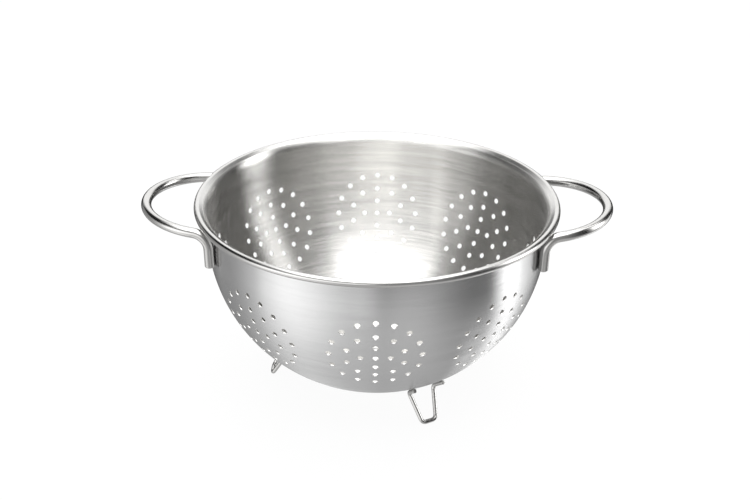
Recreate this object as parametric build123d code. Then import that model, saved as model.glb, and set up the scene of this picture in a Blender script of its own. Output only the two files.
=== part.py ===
"""A 24 cm sheet steel colander: one pressed bowl, two wire handles and three wire feet.

The frame has its origin on the table under the middle of the bowl, +Z up and the
handles along X. All sizes are in millimetres.
"""
from build123d import *
from math import asin, atan2, cos, degrees, radians, sin, tan
import os

# Bowl: outer sizes of the pressed sheet, with the drops measured from the top of the rim
sheet = 0.8
wall_radius = 119.0
base_radius = 47.6
corner_radius = 35.2
side_curve_drop = 22.05
bowl_depth = 124.55
stand_height = 18.9

# Rim: the sheet creases out of the wall to a straight flare and curls round in a bead
rim_overhang = 8.1
bead_radius = 2.5
flare_angle = 55.0
crease_radius = 2.4
curl_end_angle = 165.0

# Punched holes: each cluster is a centre hole and three rings
hole_diameter = 4.0
ring_1_radius = 9.8
ring_2_radius = 19.6
ring_3_radius = 30.4
ring_1_holes = 4
ring_2_holes = 10
ring_3_holes = 16
cluster_count = 8
cluster_drop = 63.95
punch_reach = 12.0

# Handles: the leg is measured from the corner of its bend, and welded along its lower end
handle_wire = 7.0
handle_leg_angle = 23.6
handle_arm_toe = 11.8
handle_rise_angle = 4.0
handle_bend_radius = 11.2
handle_leg_length = 23.6
handle_weld_length = 13.0
handle_end_round = 1.0
handle_flare_drop = 2.27

# Feet: hairpins whose tabs are welded under the bowl
foot_count = 3
foot_wire = 3.0
foot_weld_radius = 70.0
foot_splay = 11.1
foot_half_width_top = 10.0
foot_half_width_bottom = 5.5
foot_bend_radius = 3.5
foot_tab_bend_radius = 3.0
foot_tab_below_weld = 7.0
foot_tab_above_weld = 6.0
foot_end_round = 0.4
foot_turn = -60.0

# Clearance left between a wire and the sheet that it is welded to
weld_gap = 0.05

# Heights above the table
rim_height = stand_height + bowl_depth
side_centre_height = rim_height - side_curve_drop
corner_centre_height = stand_height + corner_radius

# Side curve: tangent to the upright wall above and to the corner curve below
centre_rise = side_centre_height - corner_centre_height
base_inset = wall_radius - base_radius
side_square = base_inset**2 + centre_rise**2 - corner_radius**2
side_curve_radius = side_square / (2 * (base_inset - corner_radius))
side_centre_radius = wall_radius - side_curve_radius
corner_turn = degrees(atan2(base_radius - side_centre_radius, centre_rise))

# Rim, from the bead down to the crease, whose angles are measured from upright
bead_centre_radius = wall_radius + rim_overhang - bead_radius
bead_centre_height = rim_height - bead_radius
inner_wall_radius = wall_radius - sheet
flare_turn = radians(flare_angle)
flare_top_radius = bead_centre_radius - bead_radius * cos(flare_turn)
flare_top_height = bead_centre_height + bead_radius * sin(flare_turn)
crease_centre_radius = inner_wall_radius + crease_radius
flare_bottom_radius = crease_centre_radius - crease_radius * cos(flare_turn)
flare_rise = (flare_top_radius - flare_bottom_radius) / tan(flare_turn)
crease_centre_height = flare_top_height - flare_rise - crease_radius * sin(flare_turn)

# Height of the handle's bends, under the place where the wall starts to flare
handle_height = crease_centre_height - handle_flare_drop
handle_weld_height = handle_height - handle_leg_length + handle_weld_length / 2


def on_arc(centre, radius, angle):
    """Point of the profile plane on an arc, with the angle in degrees from outward."""
    return (centre[0] + radius * cos(radians(angle)), centre[1] + radius * sin(radians(angle)))


def arc_between(centre, radius, start, end):
    """Arc of the profile plane from one angle to another, through its middle."""
    middle = (start + end) / 2
    points = [on_arc(centre, radius, angle) for angle in (start, middle, end)]
    return ThreePointArc(*points)


def outer_surface(radius):
    """Height and slope in degrees of the bowl's underside at a distance from its axis."""
    corner_edge = base_radius + corner_radius * sin(radians(corner_turn))
    if radius > corner_edge:
        slope = asin((radius - side_centre_radius) / side_curve_radius)
        return side_centre_height - side_curve_radius * cos(slope), degrees(slope)
    slope = asin(max(radius - base_radius, 0) / corner_radius)
    return corner_centre_height - corner_radius * cos(slope), degrees(slope)


def wall_at(height):
    """Distance from the axis and inward lean in degrees of the outer wall at a height."""
    if height > side_centre_height:
        return wall_radius, 0
    lean = asin((side_centre_height - height) / side_curve_radius)
    return side_centre_radius + side_curve_radius * cos(lean), degrees(lean)


def sheet_face(offset):
    """Profile from the axis to the curled edge, on the underside or the inside of the sheet."""
    side = (side_centre_radius, side_centre_height)
    corner = (base_radius, corner_centre_height)
    crease = (crease_centre_radius, crease_centre_height)
    bead = (bead_centre_radius, bead_centre_height)
    meet = corner_turn - 90
    bead_start = 180 - flare_angle
    crease_arc = crease_radius - sheet + offset
    bead_arc = bead_radius - sheet + offset
    base_height = stand_height + offset
    wall = wall_radius - offset
    return [
        Line((0, base_height), (base_radius, base_height)),
        arc_between(corner, corner_radius - offset, -90, meet),
        arc_between(side, side_curve_radius - offset, meet, 0),
        Line((wall, side_centre_height), (wall, crease_centre_height)),
        arc_between(crease, crease_arc, 180, bead_start),
        Line(on_arc(crease, crease_arc, bead_start), on_arc(bead, bead_arc, bead_start)),
        arc_between(bead, bead_arc, bead_start, -curl_end_angle),
    ]


def bowl_profile():
    """Closed outline of the sheet, cut through the bowl's axis."""
    underside = sheet_face(0)
    inside = sheet_face(sheet)
    axis_line = Line(underside[0] @ 0, inside[0] @ 0)
    cut_edge = Line(underside[-1] @ 1, inside[-1] @ 1)
    return Wire([line.edge() for line in underside + inside + [axis_line, cut_edge]])


def cluster_plane(turn):
    """Plane of one side cluster, its normal square to the wall and pointing outward."""
    radius, lean = wall_at(rim_height - cluster_drop)
    centre = Vector(radius, 0, rim_height - cluster_drop)
    outward = Vector(cos(radians(lean)), 0, -sin(radians(lean)))
    sideways = Vector(0, 1, 0)
    return Plane(
        origin=centre.rotate(Axis.Z, turn),
        x_dir=sideways.rotate(Axis.Z, turn),
        z_dir=outward.rotate(Axis.Z, turn),
    )


def cluster_punches(plane):
    """The round punches of one cluster, square to its plane, each ring starting at the top."""
    punch = Cylinder(hole_diameter / 2, 2 * punch_reach)
    rings = [
        (ring_1_radius, ring_1_holes),
        (ring_2_radius, ring_2_holes),
        (ring_3_radius, ring_3_holes),
    ]
    punches = [plane * punch]
    for ring_radius, holes in rings:
        for place in PolarLocations(ring_radius, holes, start_angle=90):
            punches.append(plane * place * punch)
    return punches


def make_bowl():
    """The pressed bowl with its rolled rim and punched holes."""
    face = Plane.XZ * make_face(bowl_profile())
    bowl = revolve(face, Axis.Z)
    punches = []
    for index in range(cluster_count):
        turn = 360 * index / cluster_count
        punches += cluster_punches(cluster_plane(turn))
    punches += cluster_punches(Plane((0, 0, stand_height)))
    return bowl - punches


def bend(before, corner, after, radius):
    """Start, middle and end of the arc that rounds a corner of a wire's centre line."""
    back = (before - corner).normalized()
    ahead = (after - corner).normalized()
    half_angle = radians(back.get_angle(ahead)) / 2
    reach = radius / tan(half_angle)
    start = corner + back * reach
    end = corner + ahead * reach
    inward = (back + ahead).normalized()
    middle = corner + inward * (radius / sin(half_angle) - radius)
    return start, middle, end


def across_middle(point):
    """The same point on the other side of the XZ plane."""
    return Vector(point.X, -point.Y, point.Z)


def make_handle():
    """The handle on the +X side: a loop of wire with both ends turned down the wall."""
    wire_radius = handle_wire / 2
    stand_off = wire_radius + weld_gap
    radius, lean = wall_at(handle_weld_height)
    steep = radians(lean)
    turn = radians(handle_leg_angle)
    side = Vector(cos(turn), sin(turn), 0)
    up_wall = side * sin(steep) + Vector(0, 0, cos(steep))
    off_wall = side * cos(steep) - Vector(0, 0, sin(steep))
    weld = side * radius + Vector(0, 0, handle_weld_height) + off_wall * stand_off
    leg_end = weld - up_wall * (handle_weld_length / 2)
    corner = leg_end + up_wall * handle_leg_length
    toe = radians(handle_arm_toe)
    climb = radians(handle_rise_angle)
    reach_out = Vector(cos(climb), 0, sin(climb))
    sideways = Vector(0, 1, 0)
    arm = reach_out * cos(toe) - sideways * sin(toe)
    leg_top, bend_middle, arm_start = bend(leg_end, corner, corner + arm, handle_bend_radius)
    loop_radius = arm_start.Y / cos(toe)
    loop_centre = arm_start - (reach_out * sin(toe) + sideways * cos(toe)) * loop_radius
    tip = loop_centre + reach_out * loop_radius
    path = Wire(
        [
            Edge.make_line(leg_end, leg_top),
            Edge.make_three_point_arc(leg_top, bend_middle, arm_start),
            Edge.make_three_point_arc(arm_start, tip, across_middle(arm_start)),
            Edge.make_three_point_arc(
                across_middle(arm_start), across_middle(bend_middle), across_middle(leg_top)
            ),
            Edge.make_line(across_middle(leg_top), across_middle(leg_end)),
        ]
    )
    section = Plane(origin=leg_end, z_dir=up_wall) * Circle(wire_radius)
    wire = sweep(section, path=path)
    ends = wire.edges().filter_by(GeomType.CIRCLE).sort_by(Axis.Z)[:2]
    return fillet(ends, handle_end_round)


def make_foot():
    """The foot on the +X side: a hairpin of wire with its two ends turned out as tabs."""
    wire_radius = foot_wire / 2
    height, slope = outer_surface(foot_weld_radius)
    steep = radians(slope)
    outward = Vector(cos(steep), 0, sin(steep))
    off_bowl = Vector(sin(steep), 0, -cos(steep))
    weld = Vector(foot_weld_radius, 0, height) + off_bowl * (wire_radius + weld_gap)
    top = weld - outward * foot_tab_below_weld
    tab_end = weld + outward * foot_tab_above_weld
    tab_turn = degrees(asin(foot_half_width_top / top.X))
    bottom = Vector(top.X + foot_splay, 0, wire_radius)
    narrow = Vector(0, foot_half_width_bottom, 0)
    half = [tab_end.rotate(Axis.Z, tab_turn), top.rotate(Axis.Z, tab_turn), bottom + narrow]
    points = half + [across_middle(point) for point in reversed(half)]
    radii = [foot_tab_bend_radius, foot_bend_radius, foot_bend_radius, foot_tab_bend_radius]
    path = FilletPolyline(*points, radius=radii)
    section = Plane(origin=points[0], z_dir=points[1] - points[0]) * Circle(wire_radius)
    wire = sweep(section, path=path)
    ends = wire.edges().filter_by(GeomType.CIRCLE).sort_by(Axis.Z)[-2:]
    return fillet(ends, foot_end_round)


def main():
    os.makedirs("parts", exist_ok=True)
    handle = make_handle()
    foot = make_foot()
    foot_step = 360 / foot_count
    pieces = {
        "bowl": make_bowl(),
        "handle_right": handle,
        "handle_left": Rot(0, 0, 180) * handle,
        "foot_front_right": Rot(0, 0, foot_turn) * foot,
        "foot_back_right": Rot(0, 0, foot_turn + foot_step) * foot,
        "foot_left": Rot(0, 0, foot_turn + 2 * foot_step) * foot,
    }
    for name, piece in pieces.items():
        export_step(piece, f"parts/{name}.step")


main()
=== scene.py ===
"""Dresses the colander: a punched bowl of brushed sheet, with handles and feet of polished wire."""
from math import asin, atan2, cos, pi, radians, sin, tan

import bpy
import numpy as np
from mathutils import Matrix, Vector, kdtree


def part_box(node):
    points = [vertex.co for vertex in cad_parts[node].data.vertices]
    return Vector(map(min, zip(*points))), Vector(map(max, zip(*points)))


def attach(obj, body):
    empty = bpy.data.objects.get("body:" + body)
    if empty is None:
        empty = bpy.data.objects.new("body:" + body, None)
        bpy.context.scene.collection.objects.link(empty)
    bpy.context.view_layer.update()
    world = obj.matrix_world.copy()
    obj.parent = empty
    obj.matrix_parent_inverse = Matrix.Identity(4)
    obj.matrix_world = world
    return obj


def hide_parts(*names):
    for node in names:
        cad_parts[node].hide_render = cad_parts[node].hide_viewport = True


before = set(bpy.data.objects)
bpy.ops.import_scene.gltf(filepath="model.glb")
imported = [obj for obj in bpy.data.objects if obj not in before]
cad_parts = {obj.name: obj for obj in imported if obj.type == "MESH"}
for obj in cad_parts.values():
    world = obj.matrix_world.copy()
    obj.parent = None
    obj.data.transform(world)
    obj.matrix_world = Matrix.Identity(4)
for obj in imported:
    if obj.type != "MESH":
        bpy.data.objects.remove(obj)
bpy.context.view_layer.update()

MM = 0.001

# Bowl: outer sizes of the pressed sheet, with the drops measured from the top of the rim
SHEET = 0.8 * MM
WALL_RADIUS = 119.0 * MM
BASE_RADIUS = 47.6 * MM
CORNER_RADIUS = 35.2 * MM
SIDE_CURVE_DROP = 22.05 * MM
BOWL_DEPTH = 124.55 * MM
STAND_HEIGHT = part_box("bowl")[0].z

# Rim: the sheet creases out of the wall to a straight flare and curls round in a bead
RIM_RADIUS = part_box("bowl")[1].x
BEAD_RADIUS = 2.5 * MM
FLARE_ANGLE = radians(55)
CREASE_RADIUS = 7.0 * MM
CURL_END_ANGLE = radians(165)

# Punched holes: a centre hole and three rings to a cluster
HOLE_RADIUS = 2.0 * MM
RING_RADII = (9.8 * MM, 19.6 * MM, 30.4 * MM)
RING_HOLES = (4, 10, 16)
CLUSTER_COUNT = 8
CLUSTER_DROP = 63.95 * MM
PUNCH_LENGTH = 24 * MM

# Handles
HANDLE_WIRE = 7.0 * MM
HANDLE_LEG_ANGLE = radians(23.6)
HANDLE_ARM_TOE = radians(11.8)
HANDLE_RISE_ANGLE = radians(4.0)
HANDLE_BEND_RADIUS = 11.2 * MM
HANDLE_LEG_LENGTH = 23.6 * MM
HANDLE_WELD_LENGTH = 13.0 * MM
HANDLE_END_ROUND = 1.0 * MM
HANDLE_DROP = 7.45 * MM

# Feet
FOOT_WIRE = 3.0 * MM
FOOT_WELD_RADIUS = 70.0 * MM
FOOT_SPLAY = 11.1 * MM
FOOT_HALF_WIDTH_TOP = 10.0 * MM
FOOT_HALF_WIDTH_BOTTOM = 5.5 * MM
FOOT_BEND_RADIUS = 3.5 * MM
FOOT_TAB_BEND_RADIUS = 3.0 * MM
FOOT_TAB_BELOW_WELD = 7.0 * MM
FOOT_TAB_ABOVE_WELD = 6.0 * MM
FOOT_END_ROUND = 0.4 * MM
FEET = {"foot_front_right": radians(-60), "foot_back_right": radians(60), "foot_left": radians(180)}

WELD_GAP = 0.05 * MM

# Heights and arc centres of the bowl that follow from its sizes
RIM_HEIGHT = STAND_HEIGHT + BOWL_DEPTH
SIDE_CENTRE_HEIGHT = RIM_HEIGHT - SIDE_CURVE_DROP
CORNER_CENTRE_HEIGHT = STAND_HEIGHT + CORNER_RADIUS
CENTRE_RISE = SIDE_CENTRE_HEIGHT - CORNER_CENTRE_HEIGHT
BASE_INSET = WALL_RADIUS - BASE_RADIUS
SIDE_SQUARE = BASE_INSET**2 + CENTRE_RISE**2 - CORNER_RADIUS**2
SIDE_CURVE_RADIUS = SIDE_SQUARE / (2 * (BASE_INSET - CORNER_RADIUS))
SIDE_CENTRE_RADIUS = WALL_RADIUS - SIDE_CURVE_RADIUS
CORNER_TURN = atan2(BASE_RADIUS - SIDE_CENTRE_RADIUS, CENTRE_RISE)
BEAD_CENTRE_RADIUS = RIM_RADIUS - BEAD_RADIUS
BEAD_CENTRE_HEIGHT = RIM_HEIGHT - BEAD_RADIUS
FLARE_TOP_RADIUS = BEAD_CENTRE_RADIUS - BEAD_RADIUS * cos(FLARE_ANGLE)
FLARE_TOP_HEIGHT = BEAD_CENTRE_HEIGHT + BEAD_RADIUS * sin(FLARE_ANGLE)
CREASE_CENTRE_RADIUS = WALL_RADIUS - SHEET + CREASE_RADIUS
FLARE_BOTTOM_RADIUS = CREASE_CENTRE_RADIUS - CREASE_RADIUS * cos(FLARE_ANGLE)
FLARE_RISE = (FLARE_TOP_RADIUS - FLARE_BOTTOM_RADIUS) / tan(FLARE_ANGLE)
CREASE_CENTRE_HEIGHT = FLARE_TOP_HEIGHT - FLARE_RISE - CREASE_RADIUS * sin(FLARE_ANGLE)
HANDLE_HEIGHT = RIM_HEIGHT - HANDLE_DROP
HANDLE_WELD_HEIGHT = HANDLE_HEIGHT - HANDLE_LEG_LENGTH + HANDLE_WELD_LENGTH / 2

# Mesh fineness
TURN_STEPS = 288
WALL_STEP = 2.8 * MM
CORNER_STEP_ANGLE = radians(4.5)
CURL_STEP_ANGLE = radians(7.5)
HOLE_SIDES = 24
WIRE_SIDES = 40
WIRE_STEP = 1.2 * MM
END_STEPS = 7
NORMAL_STEP = 0.1 * MM
MERGE_DISTANCE = 0.001 * MM
SHARP_ANGLE = radians(45)
END_CLEARANCE = 1.2

# Brushing marks of the sheet: how quickly they change round the bowl and across it, and detail
GRAIN = (6.0, 2600, 3.0)
STREAKS = (2.6, 620, 2.0)
RINGS = (0.9, 140, 1.0)
GRAIN_SHARE = 0.25
STREAK_SHARE = 0.5
RING_SHARE = 0.25
MARK_TONES = (0.36, 0.64)
SHINE_TONES = (0.35, 0.65)
RING_TONES = (0.3, 0.7)
NOISE_ROUGHNESS = 0.6
LEAST_RADIUS = 1.0 * MM
OUTER_MARKS = 0.25

# Sheet: brushed steel, sharp round the axis and dull up and down, with a painted warm shade on the
# inside of the bowl
SHEET_DARK = (0.562, 0.562, 0.562, 1)
SHEET_LIGHT = (0.712, 0.712, 0.712, 1)
# Painted shade: the inner surface alone is tinted warmer and a little darker than the outer one
INNER_PAINTED_WARM_SHADE = (1.0, 0.99, 0.965, 1)
SHEET_ROUGHNESS = (0.235, 0.255)
RING_ROUGHNESS = 0.01
SHEET_ANISOTROPY = 0.8
SHEET_BUMP = 0.12
BUMP_DISTANCE = 0.02 * MM

# Polished steel: colours, ranges of roughness, and the scale, detail and roughness of its marks
RIM_COLOUR = (0.52, 0.515, 0.505, 1)
RIM_ROUGHNESS = (0.20, 0.26)
HOLE_COLOUR = (0.72, 0.715, 0.705, 1)
HOLE_ROUGHNESS = (0.50, 0.60)
WIRE_COLOUR = (0.50, 0.495, 0.485, 1)
WIRE_ROUGHNESS = (0.17, 0.23)
SMEARS = (60.0, 3.0, 0.6)
POLISH_GRAIN = (1500.0, 2.0, 0.5)
POLISH_BUMP = 0.03


def new_object(name, data):
    """A new object at the origin, linked to the scene."""
    made = bpy.data.objects.new(name, data)
    bpy.context.scene.collection.objects.link(made)
    return made


# Shader and node helpers

def add_node(tree, kind, **settings):
    """A node with its settings and inputs. A socket is linked, and any other value is set."""
    inputs = settings.pop("inputs", {})
    node = tree.nodes.new(kind)
    for name, value in settings.items():
        setattr(node, name, value)
    for name, value in inputs.items():
        if isinstance(value, bpy.types.NodeSocket):
            tree.links.new(value, node.inputs[name])
        else:
            node.inputs[name].default_value = value
    return node


def math(tree, operation, first, second=0.0, third=0.0):
    """The result of one sum on numbers or sockets."""
    node = add_node(tree, "ShaderNodeMath", operation=operation)
    for socket, value in zip(node.inputs, (first, second, third)):
        if isinstance(value, bpy.types.NodeSocket):
            tree.links.new(value, socket)
        else:
            socket.default_value = value
    return node.outputs[0]


def remap(tree, value, low, high, to_low, to_high):
    """The value moved from one range to another, and held within it."""
    inputs = {
        "Value": value,
        "From Min": low,
        "From Max": high,
        "To Min": to_low,
        "To Max": to_high,
    }
    return add_node(tree, "ShaderNodeMapRange", inputs=inputs).outputs["Result"]


def new_material(name):
    """A material with a bare node tree and its output."""
    material = bpy.data.materials.new(name)
    material.use_nodes = True
    tree = material.node_tree
    tree.nodes.clear()
    return material, tree, add_node(tree, "ShaderNodeOutputMaterial")


def noise_at(tree, place, scale, detail, roughness):
    """Cloudy noise at a place."""
    inputs = {"Vector": place, "Scale": scale, "Detail": detail, "Roughness": roughness}
    return add_node(tree, "ShaderNodeTexNoise", inputs=inputs).outputs["Fac"]


def ring_noise(tree, around, across, detail):
    """Noise drawn out into rings round the bowl's axis: slow around it, quick across the rings."""
    place = add_node(tree, "ShaderNodeTexCoord").outputs["Object"]
    parts = add_node(tree, "ShaderNodeSeparateXYZ", inputs={"Vector": place})
    x, y, z = parts.outputs
    squares = math(tree, "ADD", math(tree, "MULTIPLY", x, x), math(tree, "MULTIPLY", y, y))
    radius = math(tree, "SQRT", squares)
    safe_radius = math(tree, "MAXIMUM", radius, LEAST_RADIUS)
    along = math(tree, "ADD", radius, z)
    turned = add_node(
        tree,
        "ShaderNodeCombineXYZ",
        inputs={
            "X": math(tree, "MULTIPLY", math(tree, "DIVIDE", x, safe_radius), around),
            "Y": math(tree, "MULTIPLY", math(tree, "DIVIDE", y, safe_radius), around),
            "Z": math(tree, "MULTIPLY", along, across),
        },
    ).outputs[0]
    return noise_at(tree, turned, 1.0, detail, NOISE_ROUGHNESS)


def inner_side(tree):
    """1 on the bowl's inner surface, which faces its middle, and 0 on its outer one."""
    place = add_node(tree, "ShaderNodeTexCoord").outputs["Object"]
    middle = (0, 0, SIDE_CENTRE_HEIGHT)
    reach = add_node(
        tree, "ShaderNodeVectorMath", operation="SUBTRACT", inputs={0: middle, 1: place}
    ).outputs["Vector"]
    facing = add_node(tree, "ShaderNodeNewGeometry").outputs["Normal"]
    toward = add_node(
        tree, "ShaderNodeVectorMath", operation="DOT_PRODUCT", inputs={0: reach, 1: facing}
    ).outputs["Value"]
    return math(tree, "GREATER_THAN", toward, 0.0)


def mix_colours(tree, blend, share, first, second):
    """Two colours mixed by a share."""
    inputs = {0: share, 6: first, 7: second}
    return add_node(
        tree, "ShaderNodeMix", data_type="RGBA", blend_type=blend, inputs=inputs
    ).outputs[2]


def brushed_steel():
    """Satin sheet, brushed in rings round the axis, with coarser rings where the tool pressed."""
    material, tree, output = new_material("brushed_steel")
    grain = ring_noise(tree, *GRAIN)
    streaks = ring_noise(tree, *STREAKS)
    rings = ring_noise(tree, *RINGS)
    grain_part = math(tree, "MULTIPLY", grain, GRAIN_SHARE)
    streak_part = math(tree, "MULTIPLY", streaks, STREAK_SHARE)
    ring_part = math(tree, "MULTIPLY", rings, RING_SHARE)
    mixed = math(tree, "ADD", math(tree, "ADD", grain_part, streak_part), ring_part)
    inside = inner_side(tree)
    marks = remap(tree, inside, 0.0, 1.0, OUTER_MARKS, 1.0)
    shine = remap(tree, mixed, *SHINE_TONES, *SHEET_ROUGHNESS)
    ring_shine = remap(tree, rings, *RING_TONES, -RING_ROUGHNESS, RING_ROUGHNESS)
    tone = math(tree, "MULTIPLY", remap(tree, mixed, *MARK_TONES, -0.5, 0.5), marks)
    grey = mix_colours(tree, "MIX", math(tree, "ADD", tone, 0.5), SHEET_DARK, SHEET_LIGHT)
    # Painted shade: the grey of the brushing marks is tinted warmer and darker on the inner surface
    # only
    grey_with_painted_shade = mix_colours(tree, "MULTIPLY", inside, grey, INNER_PAINTED_WARM_SHADE)
    height = math(tree, "MULTIPLY", math(tree, "ADD", streaks, grain), 0.5)
    bump = add_node(
        tree,
        "ShaderNodeBump",
        inputs={
            "Strength": math(tree, "MULTIPLY", marks, SHEET_BUMP),
            "Distance": BUMP_DISTANCE,
            "Height": height,
        },
    )
    round_axis = add_node(tree, "ShaderNodeTangent", direction_type="RADIAL", axis="Z")
    shader = add_node(
        tree,
        "ShaderNodeBsdfAnisotropic",
        distribution="GGX",
        inputs={
            "Color": grey_with_painted_shade,
            "Roughness": math(tree, "ADD", shine, ring_shine),
            "Anisotropy": SHEET_ANISOTROPY,
            "Normal": bump.outputs[0],
            "Tangent": round_axis.outputs[0],
        },
    )
    tree.links.new(shader.outputs[0], output.inputs[0])
    return material


def polished_steel(name, colour, roughness):
    """Bright steel with faint drawing marks and a few soft smears."""
    material, tree, output = new_material(name)
    place = add_node(tree, "ShaderNodeTexCoord").outputs["Object"]
    smears = noise_at(tree, place, *SMEARS)
    grain = noise_at(tree, place, *POLISH_GRAIN)
    bump = add_node(
        tree,
        "ShaderNodeBump",
        inputs={"Strength": POLISH_BUMP, "Distance": BUMP_DISTANCE, "Height": grain},
    )
    shader = add_node(
        tree,
        "ShaderNodeBsdfPrincipled",
        inputs={
            "Base Color": colour,
            "Metallic": 1.0,
            "Roughness": remap(tree, smears, *SHINE_TONES, *roughness),
            "Normal": bump.outputs[0],
        },
    )
    tree.links.new(shader.outputs[0], output.inputs[0])
    return material


# The bowl's section: each stretch gives points from the axis out, with the way its surface faces

def arc_points(centre, radius, start, end, step, facing):
    """Points and normals of an arc of the section. Facing is 1 for outward from its centre."""
    count = max(2, round(abs(end - start) / step) + 1)
    rows = []
    for angle in np.linspace(start, end, count):
        along = np.array((cos(angle), sin(angle)))
        rows.append((np.array(centre) + radius * along, facing * along))
    return rows


def line_points(start, end, step, normal):
    """Points and normals of a straight stretch."""
    start, end = np.array(start), np.array(end)
    count = max(2, round(float(np.linalg.norm(end - start)) / step) + 1)
    return [(start + (end - start) * share, np.array(normal)) for share in np.linspace(0, 1, count)]


def sheet_side(offset, facing, finer=1.0):
    """One side of the sheet from the axis to the curled edge: offset 0 is the underside."""
    step = WALL_STEP / finer
    side = (SIDE_CENTRE_RADIUS, SIDE_CENTRE_HEIGHT)
    corner = (BASE_RADIUS, CORNER_CENTRE_HEIGHT)
    crease = (CREASE_CENTRE_RADIUS, CREASE_CENTRE_HEIGHT)
    bead = (BEAD_CENTRE_RADIUS, BEAD_CENTRE_HEIGHT)
    meet = CORNER_TURN - pi / 2
    bead_start = pi - FLARE_ANGLE
    crease_arc = CREASE_RADIUS - SHEET + offset
    bead_arc = BEAD_RADIUS - SHEET + offset
    up_flare = np.array((-cos(FLARE_ANGLE), sin(FLARE_ANGLE)))
    crease_end = np.array(crease) + crease_arc * up_flare
    bead_begin = np.array(bead) + bead_arc * up_flare
    base_height = STAND_HEIGHT + offset
    wall = WALL_RADIUS - offset
    side_step = WALL_STEP / SIDE_CURVE_RADIUS / finer
    corner_step = CORNER_STEP_ANGLE / finer
    curl_step = CURL_STEP_ANGLE / finer
    return [
        line_points((0, base_height), (BASE_RADIUS, base_height), step, (0, -facing)),
        arc_points(corner, CORNER_RADIUS - offset, -pi / 2, meet, corner_step, facing),
        arc_points(side, SIDE_CURVE_RADIUS - offset, meet, 0, side_step, facing),
        line_points((wall, SIDE_CENTRE_HEIGHT), (wall, CREASE_CENTRE_HEIGHT), step, (facing, 0)),
        arc_points(crease, crease_arc, pi, bead_start, curl_step, -facing),
        line_points(crease_end, bead_begin, step / 2, -facing * up_flare),
        arc_points(bead, bead_arc, bead_start, -CURL_END_ANGLE, curl_step, -facing),
    ]


def join_stretches(stretches):
    """The stretches as one row of points and normals, without the doubled ends."""
    row = list(stretches[0])
    for stretch in stretches[1:]:
        row += stretch[1:]
    return row


def wall_at(height):
    """Radius and inward lean of the outer wall at a height."""
    if height > SIDE_CENTRE_HEIGHT:
        return WALL_RADIUS, 0.0
    lean = asin((SIDE_CENTRE_HEIGHT - height) / SIDE_CURVE_RADIUS)
    return SIDE_CENTRE_RADIUS + SIDE_CURVE_RADIUS * cos(lean), lean


def underside_at(radius):
    """Height and slope of the bowl's underside at a radius past the corner curve."""
    slope = asin((radius - SIDE_CENTRE_RADIUS) / SIDE_CURVE_RADIUS)
    return SIDE_CENTRE_HEIGHT - SIDE_CURVE_RADIUS * cos(slope), slope


# Geometry node trees

def new_tree(name, inputs):
    """A geometry node tree with named inputs, and its group input and output nodes."""
    tree = bpy.data.node_groups.new(name, "GeometryNodeTree")
    tree.interface.new_socket("Geometry", in_out="INPUT", socket_type="NodeSocketGeometry")
    for socket, kind in inputs.items():
        tree.interface.new_socket(socket, in_out="INPUT", socket_type=kind)
    tree.interface.new_socket("Geometry", in_out="OUTPUT", socket_type="NodeSocketGeometry")
    return tree, add_node(tree, "NodeGroupInput").outputs, add_node(tree, "NodeGroupOutput")


def run_tree(piece, tree, values):
    """Sets the tree's inputs on the piece, and makes its result the piece's own plain mesh."""
    modifier = piece.modifiers.new(tree.name, "NODES")
    modifier.node_group = tree
    for socket in tree.interface.items_tree:
        if socket.in_out == "INPUT" and socket.name in values:
            modifier[socket.identifier] = values[socket.name]
    evaluated = piece.evaluated_get(bpy.context.evaluated_depsgraph_get())
    mesh = bpy.data.meshes.new_from_object(evaluated)
    mesh.name = piece.name
    made = new_object(piece.name + "_made", mesh)
    name = piece.name
    bpy.data.objects.remove(piece)
    made.name = name
    return made


def revolve_nodes(tree, section, turns, points):
    """The section's points turned round Z into a closed shell."""
    grid = add_node(
        tree,
        "GeometryNodeMeshGrid",
        inputs={"Vertices X": math(tree, "ADD", turns, 1), "Vertices Y": points},
    ).outputs["Mesh"]
    index = add_node(tree, "GeometryNodeInputIndex").outputs[0]
    column = math(tree, "FLOOR", math(tree, "DIVIDE", index, points))
    row = math(tree, "MODULO", index, points)
    angle = math(tree, "MULTIPLY", math(tree, "DIVIDE", column, turns), 2 * pi)
    position = add_node(tree, "GeometryNodeInputPosition").outputs[0]
    sampled = add_node(
        tree,
        "GeometryNodeSampleIndex",
        data_type="FLOAT_VECTOR",
        domain="POINT",
        inputs={"Geometry": section, "Value": position, "Index": row},
    ).outputs[0]
    turned = add_node(
        tree,
        "ShaderNodeVectorRotate",
        rotation_type="Z_AXIS",
        inputs={"Vector": sampled, "Angle": angle},
    ).outputs[0]
    placed = add_node(
        tree, "GeometryNodeSetPosition", inputs={"Geometry": grid, "Position": turned}
    ).outputs[0]
    return add_node(
        tree, "GeometryNodeMergeByDistance", inputs={"Geometry": placed, "Distance": MERGE_DISTANCE}
    ).outputs[0]


def spread_round(tree, instance, count, radius):
    """Instances on a circle, none of them turned."""
    circle = add_node(
        tree, "GeometryNodeMeshCircle", inputs={"Vertices": count, "Radius": radius}
    ).outputs[0]
    return add_node(
        tree, "GeometryNodeInstanceOnPoints", inputs={"Points": circle, "Instance": instance}
    ).outputs[0]


def place_nodes(tree, geometry, translation=(0, 0, 0), rotation=(0, 0, 0)):
    """The geometry turned and moved."""
    return add_node(
        tree,
        "GeometryNodeTransform",
        inputs={"Geometry": geometry, "Translation": translation, "Rotation": rotation},
    ).outputs[0]


def join_nodes(tree, geometries):
    """Several geometries as one."""
    joined = add_node(tree, "GeometryNodeJoinGeometry")
    for geometry in geometries:
        tree.links.new(geometry, joined.inputs[0])
    return joined.outputs[0]


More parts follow.
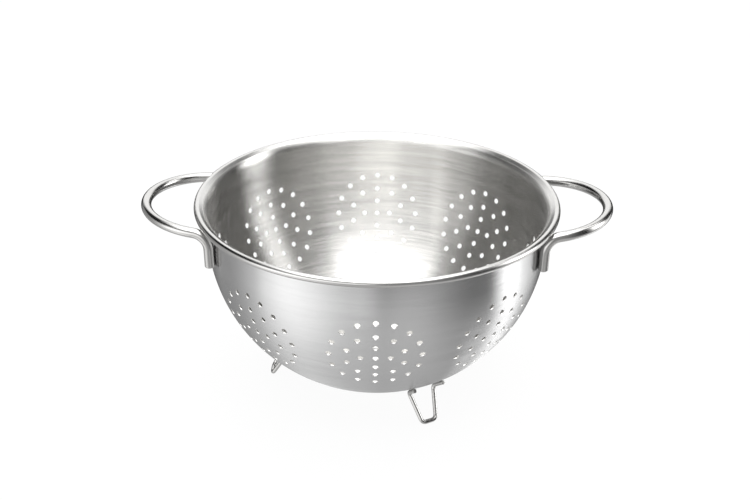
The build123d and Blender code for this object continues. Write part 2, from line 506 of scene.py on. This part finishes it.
def punched_bowl_tree():
    """Revolves the section and punches the hole clusters through the shell."""
    inputs = {
        "Section points": "NodeSocketInt",
        "Turn steps": "NodeSocketInt",
        "Hole radius": "NodeSocketFloat",
        "Hole sides": "NodeSocketInt",
        "Punch length": "NodeSocketFloat",
        "Cluster count": "NodeSocketInt",
        "Cluster place": "NodeSocketVector",
        "Cluster tilt": "NodeSocketVector",
        "Base place": "NodeSocketVector",
        "Rim start": "NodeSocketFloat",
        "Steel": "NodeSocketMaterial",
        "Rim steel": "NodeSocketMaterial",
        "Hole steel": "NodeSocketMaterial",
    }
    for number in range(1, len(RING_RADII) + 1):
        inputs[f"Ring {number} radius"] = "NodeSocketFloat"
        inputs[f"Ring {number} holes"] = "NodeSocketInt"
    tree, given, output = new_tree("punched_bowl", inputs)
    shell = revolve_nodes(tree, given["Geometry"], given["Turn steps"], given["Section points"])
    punch = add_node(
        tree,
        "GeometryNodeMeshCylinder",
        fill_type="NGON",
        inputs={
            "Vertices": given["Hole sides"],
            "Radius": given["Hole radius"],
            "Depth": given["Punch length"],
        },
    ).outputs["Mesh"]
    marked = add_node(
        tree,
        "GeometryNodeStoreNamedAttribute",
        data_type="FLOAT",
        domain="FACE",
        inputs={"Geometry": punch, "Name": "punched", "Value": 1.0},
    ).outputs[0]
    rings = [
        spread_round(tree, marked, given[f"Ring {number} holes"], given[f"Ring {number} radius"])
        for number in range(1, len(RING_RADII) + 1)
    ]
    cluster = join_nodes(tree, [marked, *rings])
    in_wall = place_nodes(tree, cluster, given["Cluster place"], given["Cluster tilt"])
    in_base = place_nodes(tree, cluster, given["Base place"], (0, 0, pi / 2))
    hub = add_node(
        tree, "GeometryNodeMeshCircle", inputs={"Vertices": given["Cluster count"], "Radius": 0.0}
    ).outputs[0]
    step = math(tree, "DIVIDE", 2 * pi, given["Cluster count"])
    turn = math(tree, "MULTIPLY", add_node(tree, "GeometryNodeInputIndex").outputs[0], step)
    euler = add_node(tree, "ShaderNodeCombineXYZ", inputs={"Z": turn}).outputs[0]
    rotation = add_node(tree, "FunctionNodeEulerToRotation", inputs={"Euler": euler}).outputs[0]
    round_wall = add_node(
        tree,
        "GeometryNodeInstanceOnPoints",
        inputs={"Points": hub, "Instance": as_instance(tree, in_wall), "Rotation": rotation},
    ).outputs[0]
    all_clusters = join_nodes(tree, [round_wall, in_base])
    punches = add_node(
        tree, "GeometryNodeRealizeInstances", inputs={"Geometry": all_clusters}
    ).outputs[0]
    boolean = add_node(tree, "GeometryNodeMeshBoolean", operation="DIFFERENCE", solver="MANIFOLD")
    tree.links.new(shell, boolean.inputs["Mesh 1"])
    tree.links.new(punches, boolean.inputs["Mesh 2"])
    realized = add_node(
        tree, "GeometryNodeRealizeInstances", inputs={"Geometry": boolean.outputs["Mesh"]}
    ).outputs[0]
    coated = add_node(
        tree, "GeometryNodeSetMaterial", inputs={"Geometry": realized, "Material": given["Steel"]}
    ).outputs[0]
    place = add_node(tree, "GeometryNodeInputPosition").outputs[0]
    aside = add_node(
        tree, "ShaderNodeVectorMath", operation="MULTIPLY", inputs={0: place, 1: (1, 1, 0)}
    ).outputs["Vector"]
    radius = add_node(
        tree, "ShaderNodeVectorMath", operation="LENGTH", inputs={0: aside}
    ).outputs["Value"]
    on_rim = math(tree, "GREATER_THAN", radius, given["Rim start"])
    rimmed = add_node(
        tree,
        "GeometryNodeSetMaterial",
        inputs={"Geometry": coated, "Selection": on_rim, "Material": given["Rim steel"]},
    ).outputs[0]
    on_hole = add_node(
        tree, "GeometryNodeInputNamedAttribute", data_type="FLOAT", inputs={"Name": "punched"}
    ).outputs["Attribute"]
    edged = add_node(
        tree,
        "GeometryNodeSetMaterial",
        inputs={
            "Geometry": rimmed,
            "Selection": math(tree, "GREATER_THAN", on_hole, 0.5),
            "Material": given["Hole steel"],
        },
    ).outputs[0]
    tree.links.new(edged, output.inputs[0])
    return tree


def as_instance(tree, geometry):
    """The geometry as one instance."""
    return add_node(
        tree, "GeometryNodeGeometryToInstance", inputs={"Geometry": geometry}
    ).outputs[0]


def wire_tree():
    """Sweeps a round section of the wire's radius along the path, smaller at its rounded ends."""
    inputs = {
        "Wire radius": "NodeSocketFloat",
        "Sides": "NodeSocketInt",
        "Steel": "NodeSocketMaterial",
    }
    tree, given, output = new_tree("wire", inputs)
    section = add_node(
        tree,
        "GeometryNodeCurvePrimitiveCircle",
        inputs={"Resolution": given["Sides"], "Radius": given["Wire radius"]},
    ).outputs[0]
    radius = add_node(tree, "GeometryNodeInputRadius").outputs[0]
    swept = add_node(
        tree,
        "GeometryNodeCurveToMesh",
        inputs={
            "Curve": given["Geometry"],
            "Profile Curve": section,
            "Scale": radius,
            "Fill Caps": True,
        },
    ).outputs[0]
    smooth = add_node(tree, "GeometryNodeSetShadeSmooth", inputs={"Geometry": swept}).outputs[0]
    realized = add_node(
        tree, "GeometryNodeRealizeInstances", inputs={"Geometry": smooth}
    ).outputs[0]
    coated = add_node(
        tree, "GeometryNodeSetMaterial", inputs={"Geometry": realized, "Material": given["Steel"]}
    ).outputs[0]
    tree.links.new(coated, output.inputs[0])
    return tree


# The bowl

def section_mesh(row):
    """A chain of the section's points in the XZ plane."""
    mesh = bpy.data.meshes.new("bowl_section")
    points = [(point[0], 0, point[1]) for point, _ in row]
    mesh.from_pydata(points, [(at, at + 1) for at in range(len(points) - 1)], [])
    return mesh


def face_like_sheet(mesh, samples):
    """Gives each corner of the mesh the normal of the sheet's surface, or of its hole's wall."""
    tree = kdtree.KDTree(len(samples))
    for at, (point, _) in enumerate(samples):
        tree.insert((point[0], 0, point[1]), at)
    tree.balance()
    punched = mesh.attributes["punched"].data
    normals = [None] * len(mesh.loops)
    hole_sums = {}
    for face in mesh.polygons:
        if punched[face.index].value > 0.5:
            for vertex in face.vertices:
                hole_sums[vertex] = hole_sums.get(vertex, Vector()) + face.normal
    for face in mesh.polygons:
        for loop in face.loop_indices:
            vertex = mesh.loops[loop].vertex_index
            place = mesh.vertices[vertex].co
            if punched[face.index].value > 0.5:
                normals[loop] = hole_sums[vertex].normalized()
                continue
            radius = (place.x**2 + place.y**2) ** 0.5
            _, at, _ = tree.find((radius, 0, place.z))
            out, up = samples[at][1]
            if radius > 0:
                normal = Vector((out * place.x / radius, out * place.y / radius, up))
            else:
                normal = Vector((0, 0, up))
            on_sheet = normal.dot(face.normal) > cos(SHARP_ANGLE)
            normals[loop] = normal if on_sheet else face.normal
    mesh.shade_smooth()
    mesh.normals_split_custom_set(normals)


def make_bowl(steel, rim_steel, hole_steel):
    """The bowl as one punched shell of sheet, with a brighter rim and hole edges."""
    underside = join_stretches(sheet_side(0, 1))
    inside = join_stretches(sheet_side(SHEET, -1))
    row = underside + inside[::-1]
    piece = new_object("bowl_shell", section_mesh(row))
    radius, lean = wall_at(RIM_HEIGHT - CLUSTER_DROP)
    values = {
        "Section points": len(row),
        "Turn steps": TURN_STEPS,
        "Hole radius": HOLE_RADIUS,
        "Hole sides": HOLE_SIDES,
        "Punch length": PUNCH_LENGTH,
        "Cluster count": CLUSTER_COUNT,
        "Cluster place": (radius, 0, RIM_HEIGHT - CLUSTER_DROP),
        "Cluster tilt": (0, lean - pi / 2, 0),
        "Base place": (0, 0, STAND_HEIGHT),
        "Rim start": FLARE_BOTTOM_RADIUS,
        "Steel": steel,
        "Rim steel": rim_steel,
        "Hole steel": hole_steel,
    }
    for number, (ring_radius, holes) in enumerate(zip(RING_RADII, RING_HOLES), 1):
        values[f"Ring {number} radius"] = ring_radius
        values[f"Ring {number} holes"] = holes
    bowl = run_tree(piece, punched_bowl_tree(), values)
    finer = WALL_STEP / NORMAL_STEP
    samples = join_stretches(sheet_side(0, 1, finer)) + join_stretches(sheet_side(SHEET, -1, finer))
    face_like_sheet(bowl.data, samples)
    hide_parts("bowl")
    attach(bowl, "root")


# Wires

def rounded_path(points, radii, step):
    """Points along a path of straight runs, with each inner corner rounded to its radius."""
    path = [points[0]]
    for before, corner, after, radius in zip(points, points[1:], points[2:], radii):
        back = (before - corner).normalized()
        ahead = (after - corner).normalized()
        half = back.angle(ahead) / 2
        centre = corner + (back + ahead).normalized() * (radius / sin(half))
        start = corner + back * (radius / tan(half)) - centre
        end = corner + ahead * (radius / tan(half)) - centre
        sweep = start.angle(end)
        count = max(4, round(radius * sweep / step))
        for at in range(count + 1):
            share = at / count
            from_start = start * (sin((1 - share) * sweep) / sin(sweep))
            path.append(centre + from_start + end * (sin(share * sweep) / sin(sweep)))
    path.append(points[-1])
    return path


def filled_path(path, step):
    """The path with its straight runs divided to even steps."""
    filled = [path[0]]
    for start, end in zip(path, path[1:]):
        count = max(1, round((end - start).length / step))
        filled += [start.lerp(end, at / count) for at in range(1, count + 1)]
    return filled


def with_round_ends(path, wire_radius, round_radius):
    """Path points with a size each, which falls off in a quarter round at both ends."""
    reaches = []
    sizes = []
    for angle in np.linspace(0, pi / 2, END_STEPS):
        reaches.append(round_radius * (1 - cos(angle)))
        sizes.append(1 - round_radius * (1 - sin(angle)) / wire_radius)
    first = (path[1] - path[0]).normalized()
    last = (path[-2] - path[-1]).normalized()
    clear = round_radius * END_CLEARANCE
    inner = []
    for point in path:
        if min((point - path[0]).length, (point - path[-1]).length) > clear:
            inner.append(point)
    starts = [path[0] + first * reach for reach in reaches]
    stops = [path[-1] + last * reach for reach in reversed(reaches)]
    return starts + inner + stops, sizes + [1.0] * len(inner) + sizes[::-1]


def make_wire(name, path, wire, end_round, steel):
    """A bent wire that stands for its CAD node."""
    points, sizes = with_round_ends(filled_path(path, WIRE_STEP), wire / 2, end_round)
    curve = bpy.data.curves.new(name, "CURVE")
    curve.dimensions = "3D"
    spline = curve.splines.new("POLY")
    spline.points.add(len(points) - 1)
    for place, point, size in zip(spline.points, points, sizes):
        place.co = (*point, 1)
        place.radius = size
    values = {"Wire radius": wire / 2, "Sides": WIRE_SIDES, "Steel": steel}
    piece = run_tree(new_object(name + "_wire", curve), wire_tree(), values)
    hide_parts(name)
    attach(piece, "root")


def across_middle(point):
    """The same point on the other side of the XZ plane."""
    return Vector((point.x, -point.y, point.z))


def handle_path():
    """Centre line of the handle on the +X side, from one leg's end to the other's."""
    stand_off = HANDLE_WIRE / 2 + WELD_GAP
    radius, lean = wall_at(HANDLE_WELD_HEIGHT)
    side = Vector((cos(HANDLE_LEG_ANGLE), sin(HANDLE_LEG_ANGLE), 0))
    up_wall = side * sin(lean) + Vector((0, 0, cos(lean)))
    off_wall = side * cos(lean) - Vector((0, 0, sin(lean)))
    weld = side * radius + Vector((0, 0, HANDLE_WELD_HEIGHT)) + off_wall * stand_off
    leg_end = weld - up_wall * (HANDLE_WELD_LENGTH / 2)
    corner = leg_end + up_wall * HANDLE_LEG_LENGTH
    reach_out = Vector((cos(HANDLE_RISE_ANGLE), 0, sin(HANDLE_RISE_ANGLE)))
    sideways = Vector((0, 1, 0))
    arm = reach_out * cos(HANDLE_ARM_TOE) - sideways * sin(HANDLE_ARM_TOE)
    leg = rounded_path([leg_end, corner, corner + arm], [HANDLE_BEND_RADIUS], WIRE_STEP)[:-1]
    arm_start = leg[-1]
    loop_radius = arm_start.y / cos(HANDLE_ARM_TOE)
    from_centre = reach_out * sin(HANDLE_ARM_TOE) + sideways * cos(HANDLE_ARM_TOE)
    centre = arm_start - from_centre * loop_radius
    half_turn = pi / 2 - HANDLE_ARM_TOE
    count = round(2 * half_turn * loop_radius / WIRE_STEP)
    loop = []
    for angle in np.linspace(half_turn, -half_turn, count + 1):
        loop.append(centre + (reach_out * cos(angle) + sideways * sin(angle)) * loop_radius)
    return leg + loop[1:-1] + [across_middle(point) for point in reversed(leg)]


def foot_path():
    """Centre line of the foot on the +X side, from one tab's end to the other's."""
    wire_radius = FOOT_WIRE / 2
    height, slope = underside_at(FOOT_WELD_RADIUS)
    outward = Vector((cos(slope), 0, sin(slope)))
    off_bowl = Vector((sin(slope), 0, -cos(slope)))
    weld = Vector((FOOT_WELD_RADIUS, 0, height)) + off_bowl * (wire_radius + WELD_GAP)
    top = weld - outward * FOOT_TAB_BELOW_WELD
    tab_end = weld + outward * FOOT_TAB_ABOVE_WELD
    tab_turn = Matrix.Rotation(asin(FOOT_HALF_WIDTH_TOP / top.x), 3, "Z")
    bottom = Vector((top.x + FOOT_SPLAY, FOOT_HALF_WIDTH_BOTTOM, wire_radius))
    half = [tab_turn @ tab_end, tab_turn @ top, bottom]
    points = half + [across_middle(point) for point in reversed(half)]
    radii = [FOOT_TAB_BEND_RADIUS, FOOT_BEND_RADIUS, FOOT_BEND_RADIUS, FOOT_TAB_BEND_RADIUS]
    return rounded_path(points, radii, WIRE_STEP / 3)


def turned(path, angle):
    """The path turned round the bowl's axis."""
    turn = Matrix.Rotation(angle, 3, "Z")
    return [turn @ point for point in path]


# Studio

WHITE = (1, 1, 1, 1)
ROOM_LEVEL = 0.005
ALL_ROUND = 180

# Soft panels, in degrees: middle and half width from the front towards +X, blur of the side edges,
# lower and upper edge, blur of these, and light level
PANELS = {
    "ceiling": (0, 180, 0, 61, 200, 24, 4.4),
    "back": (180, 34, 22, 8, 80, 8, 1.6),
    "front, high": (-10, 60, 10, 44, 71, 16, 1.9),
    "front left": (-38, 36, 20, -15, 25, 40, 1.6),
    "front right": (22, 24, 48, -44, 80, 14, 0.4),
    "right strip": (94, 10, 18, -10, 30, 43, 7.0),
    "right strip, high": (116, 10, 2, 39, 57, 8, 2.7),
    "right strip, low": (120, 12, 2, -60, 0, 7, 1.3),
    "left, low": (-60, 26, 58, -54, 20, 4, 1.0),
    "far left": (-106, 33, 8, -30, 14, 5, 0.4),
    "below": (0, 180, 0, -200, -32, 42, 0.7),
}

FLOOR_HALF_WIDTH = 6.0
FLOOR_COLOUR = (0.8, 0.8, 0.8, 1)
FLOOR_WHITE_SHARE = 0.95
FLOOR_CORNERS = ((-1, -1), (1, -1), (1, 1), (-1, 1))


def seen_ray(tree):
    """1 for what the camera sees, straight or through glass. Metal's own rays see the panels."""
    path = add_node(tree, "ShaderNodeLightPath").outputs
    return math(tree, "MAXIMUM", path["Is Camera Ray"], path["Is Transmission Ray"])


def make_floor():
    """A wide pale floor that looks white to the camera and keeps a faint shadow."""
    material, tree, output = new_material("studio_floor")
    ray = seen_ray(tree)
    pale = add_node(tree, "ShaderNodeBsdfDiffuse", inputs={"Color": FLOOR_COLOUR}).outputs[0]
    white = add_node(
        tree, "ShaderNodeEmission", inputs={"Color": WHITE, "Strength": 1.0}
    ).outputs[0]
    share = math(tree, "MULTIPLY", ray, FLOOR_WHITE_SHARE)
    mixed = add_node(tree, "ShaderNodeMixShader", inputs={0: share, 1: pale, 2: white}).outputs[0]
    tree.links.new(mixed, output.inputs[0])
    mesh = bpy.data.meshes.new("studio_floor")
    corners = [(x * FLOOR_HALF_WIDTH, y * FLOOR_HALF_WIDTH, 0) for x, y in FLOOR_CORNERS]
    mesh.from_pydata(corners, [], [(0, 1, 2, 3)])
    mesh.materials.append(material)
    floor = new_object("studio_floor", mesh)
    floor.visible_glossy = False
    floor.visible_shadow = False


def make_world():
    """The studio: white to the camera, and soft panels on near black to everything else."""
    world = bpy.data.worlds.new("studio")
    bpy.context.scene.world = world
    world.use_nodes = True
    tree = world.node_tree
    tree.nodes.clear()
    output = add_node(tree, "ShaderNodeOutputWorld")
    way = add_node(tree, "ShaderNodeTexCoord").outputs["Generated"]
    x, y, z = add_node(tree, "ShaderNodeSeparateXYZ", inputs={"Vector": way}).outputs
    azimuth = math(tree, "ARCTAN2", x, math(tree, "MULTIPLY", y, -1.0))
    elevation = math(tree, "ARCSINE", z)
    total = ROOM_LEVEL
    for panel in PANELS.values():
        total = math(tree, "ADD", panel_light(tree, azimuth, elevation, *panel), total)
    panels = add_node(
        tree, "ShaderNodeBackground", inputs={"Color": WHITE, "Strength": total}
    ).outputs[0]
    white = add_node(
        tree, "ShaderNodeBackground", inputs={"Color": WHITE, "Strength": 1.0}
    ).outputs[0]
    ray = seen_ray(tree)
    mixed = add_node(tree, "ShaderNodeMixShader", inputs={0: ray, 1: panels, 2: white}).outputs[0]
    tree.links.new(mixed, output.inputs[0])


def panel_light(tree, azimuth, elevation, middle, reach, blur, low, high, fade, level):
    """Light of one soft panel, by how far a direction is from its middle and its edges."""
    low_edge = soft_step(tree, elevation, low, fade)
    high_edge = soft_step(tree, elevation, high, fade)
    band = math(tree, "SUBTRACT", low_edge, high_edge)
    if reach < ALL_ROUND:
        turned_by = math(tree, "SUBTRACT", azimuth, radians(middle))
        aside = math(tree, "ABSOLUTE", math(tree, "WRAP", turned_by, pi, -pi))
        beyond = soft_step(tree, aside, reach, blur)
        band = math(tree, "MULTIPLY", band, math(tree, "SUBTRACT", 1.0, beyond))
    return math(tree, "MULTIPLY", band, level)


def soft_step(tree, value, edge, blur):
    """0 before the edge and 1 after it, in degrees, with a soft change between."""
    first = radians(edge - blur / 2)
    last = radians(edge + blur / 2)
    inputs = {"Value": value, "From Min": first, "From Max": last}
    return add_node(
        tree, "ShaderNodeMapRange", interpolation_type="SMOOTHSTEP", inputs=inputs
    ).outputs["Result"]


def make_studio():
    """Floor and room."""
    make_floor()
    make_world()


CAMERA_PLACE = Vector((0, -803.2 * MM, 503.6 * MM))
CAMERA_AIM = Vector((0, 0, 141.7 * MM))
CAMERA_YAW = -0.0013
CAMERA_PITCH = -0.0405
CAMERA_ROLL = 0.0107
FOCAL_PIXELS = 1260.6
PHOTO_WIDTH = 750
SENSOR_WIDTH = 36
NEAREST = 0.05
FARTHEST = 50


def make_camera():
    """The photograph's camera: it looks at the middle of the mouth, then turns by small angles."""
    forward = (CAMERA_AIM - CAMERA_PLACE).normalized()
    right = forward.cross(Vector((0, 0, 1))).normalized()
    up = right.cross(forward)
    forward, right = (
        forward * cos(CAMERA_YAW) + right * sin(CAMERA_YAW),
        right * cos(CAMERA_YAW) - forward * sin(CAMERA_YAW),
    )
    forward, up = (
        forward * cos(CAMERA_PITCH) + up * sin(CAMERA_PITCH),
        up * cos(CAMERA_PITCH) - forward * sin(CAMERA_PITCH),
    )
    right, up = (
        right * cos(CAMERA_ROLL) + up * sin(CAMERA_ROLL),
        up * cos(CAMERA_ROLL) - right * sin(CAMERA_ROLL),
    )
    data = bpy.data.cameras.new("camera")
    data.sensor_width = SENSOR_WIDTH
    data.lens = FOCAL_PIXELS * SENSOR_WIDTH / PHOTO_WIDTH
    data.clip_start = NEAREST
    data.clip_end = FARTHEST
    camera = new_object("camera", data)
    turn = Matrix((right, up, -forward)).transposed()
    camera.matrix_world = Matrix.Translation(CAMERA_PLACE) @ turn.to_4x4()
    bpy.context.scene.camera = camera


def main():
    bpy.context.scene.view_settings.view_transform = "Standard"
    make_camera()
    make_studio()
    rim_steel = polished_steel("polished_rim", RIM_COLOUR, RIM_ROUGHNESS)
    hole_steel = polished_steel("punched_edge", HOLE_COLOUR, HOLE_ROUGHNESS)
    make_bowl(brushed_steel(), rim_steel, hole_steel)
    bright = polished_steel("polished_wire", WIRE_COLOUR, WIRE_ROUGHNESS)
    for name, angle in {"handle_right": 0.0, "handle_left": pi}.items():
        path = turned(handle_path(), angle)
        make_wire(name, path, HANDLE_WIRE, HANDLE_END_ROUND, bright)
    for name, angle in FEET.items():
        path = turned(foot_path(), angle)
        make_wire(name, path, FOOT_WIRE, FOOT_END_ROUND, bright)


main()
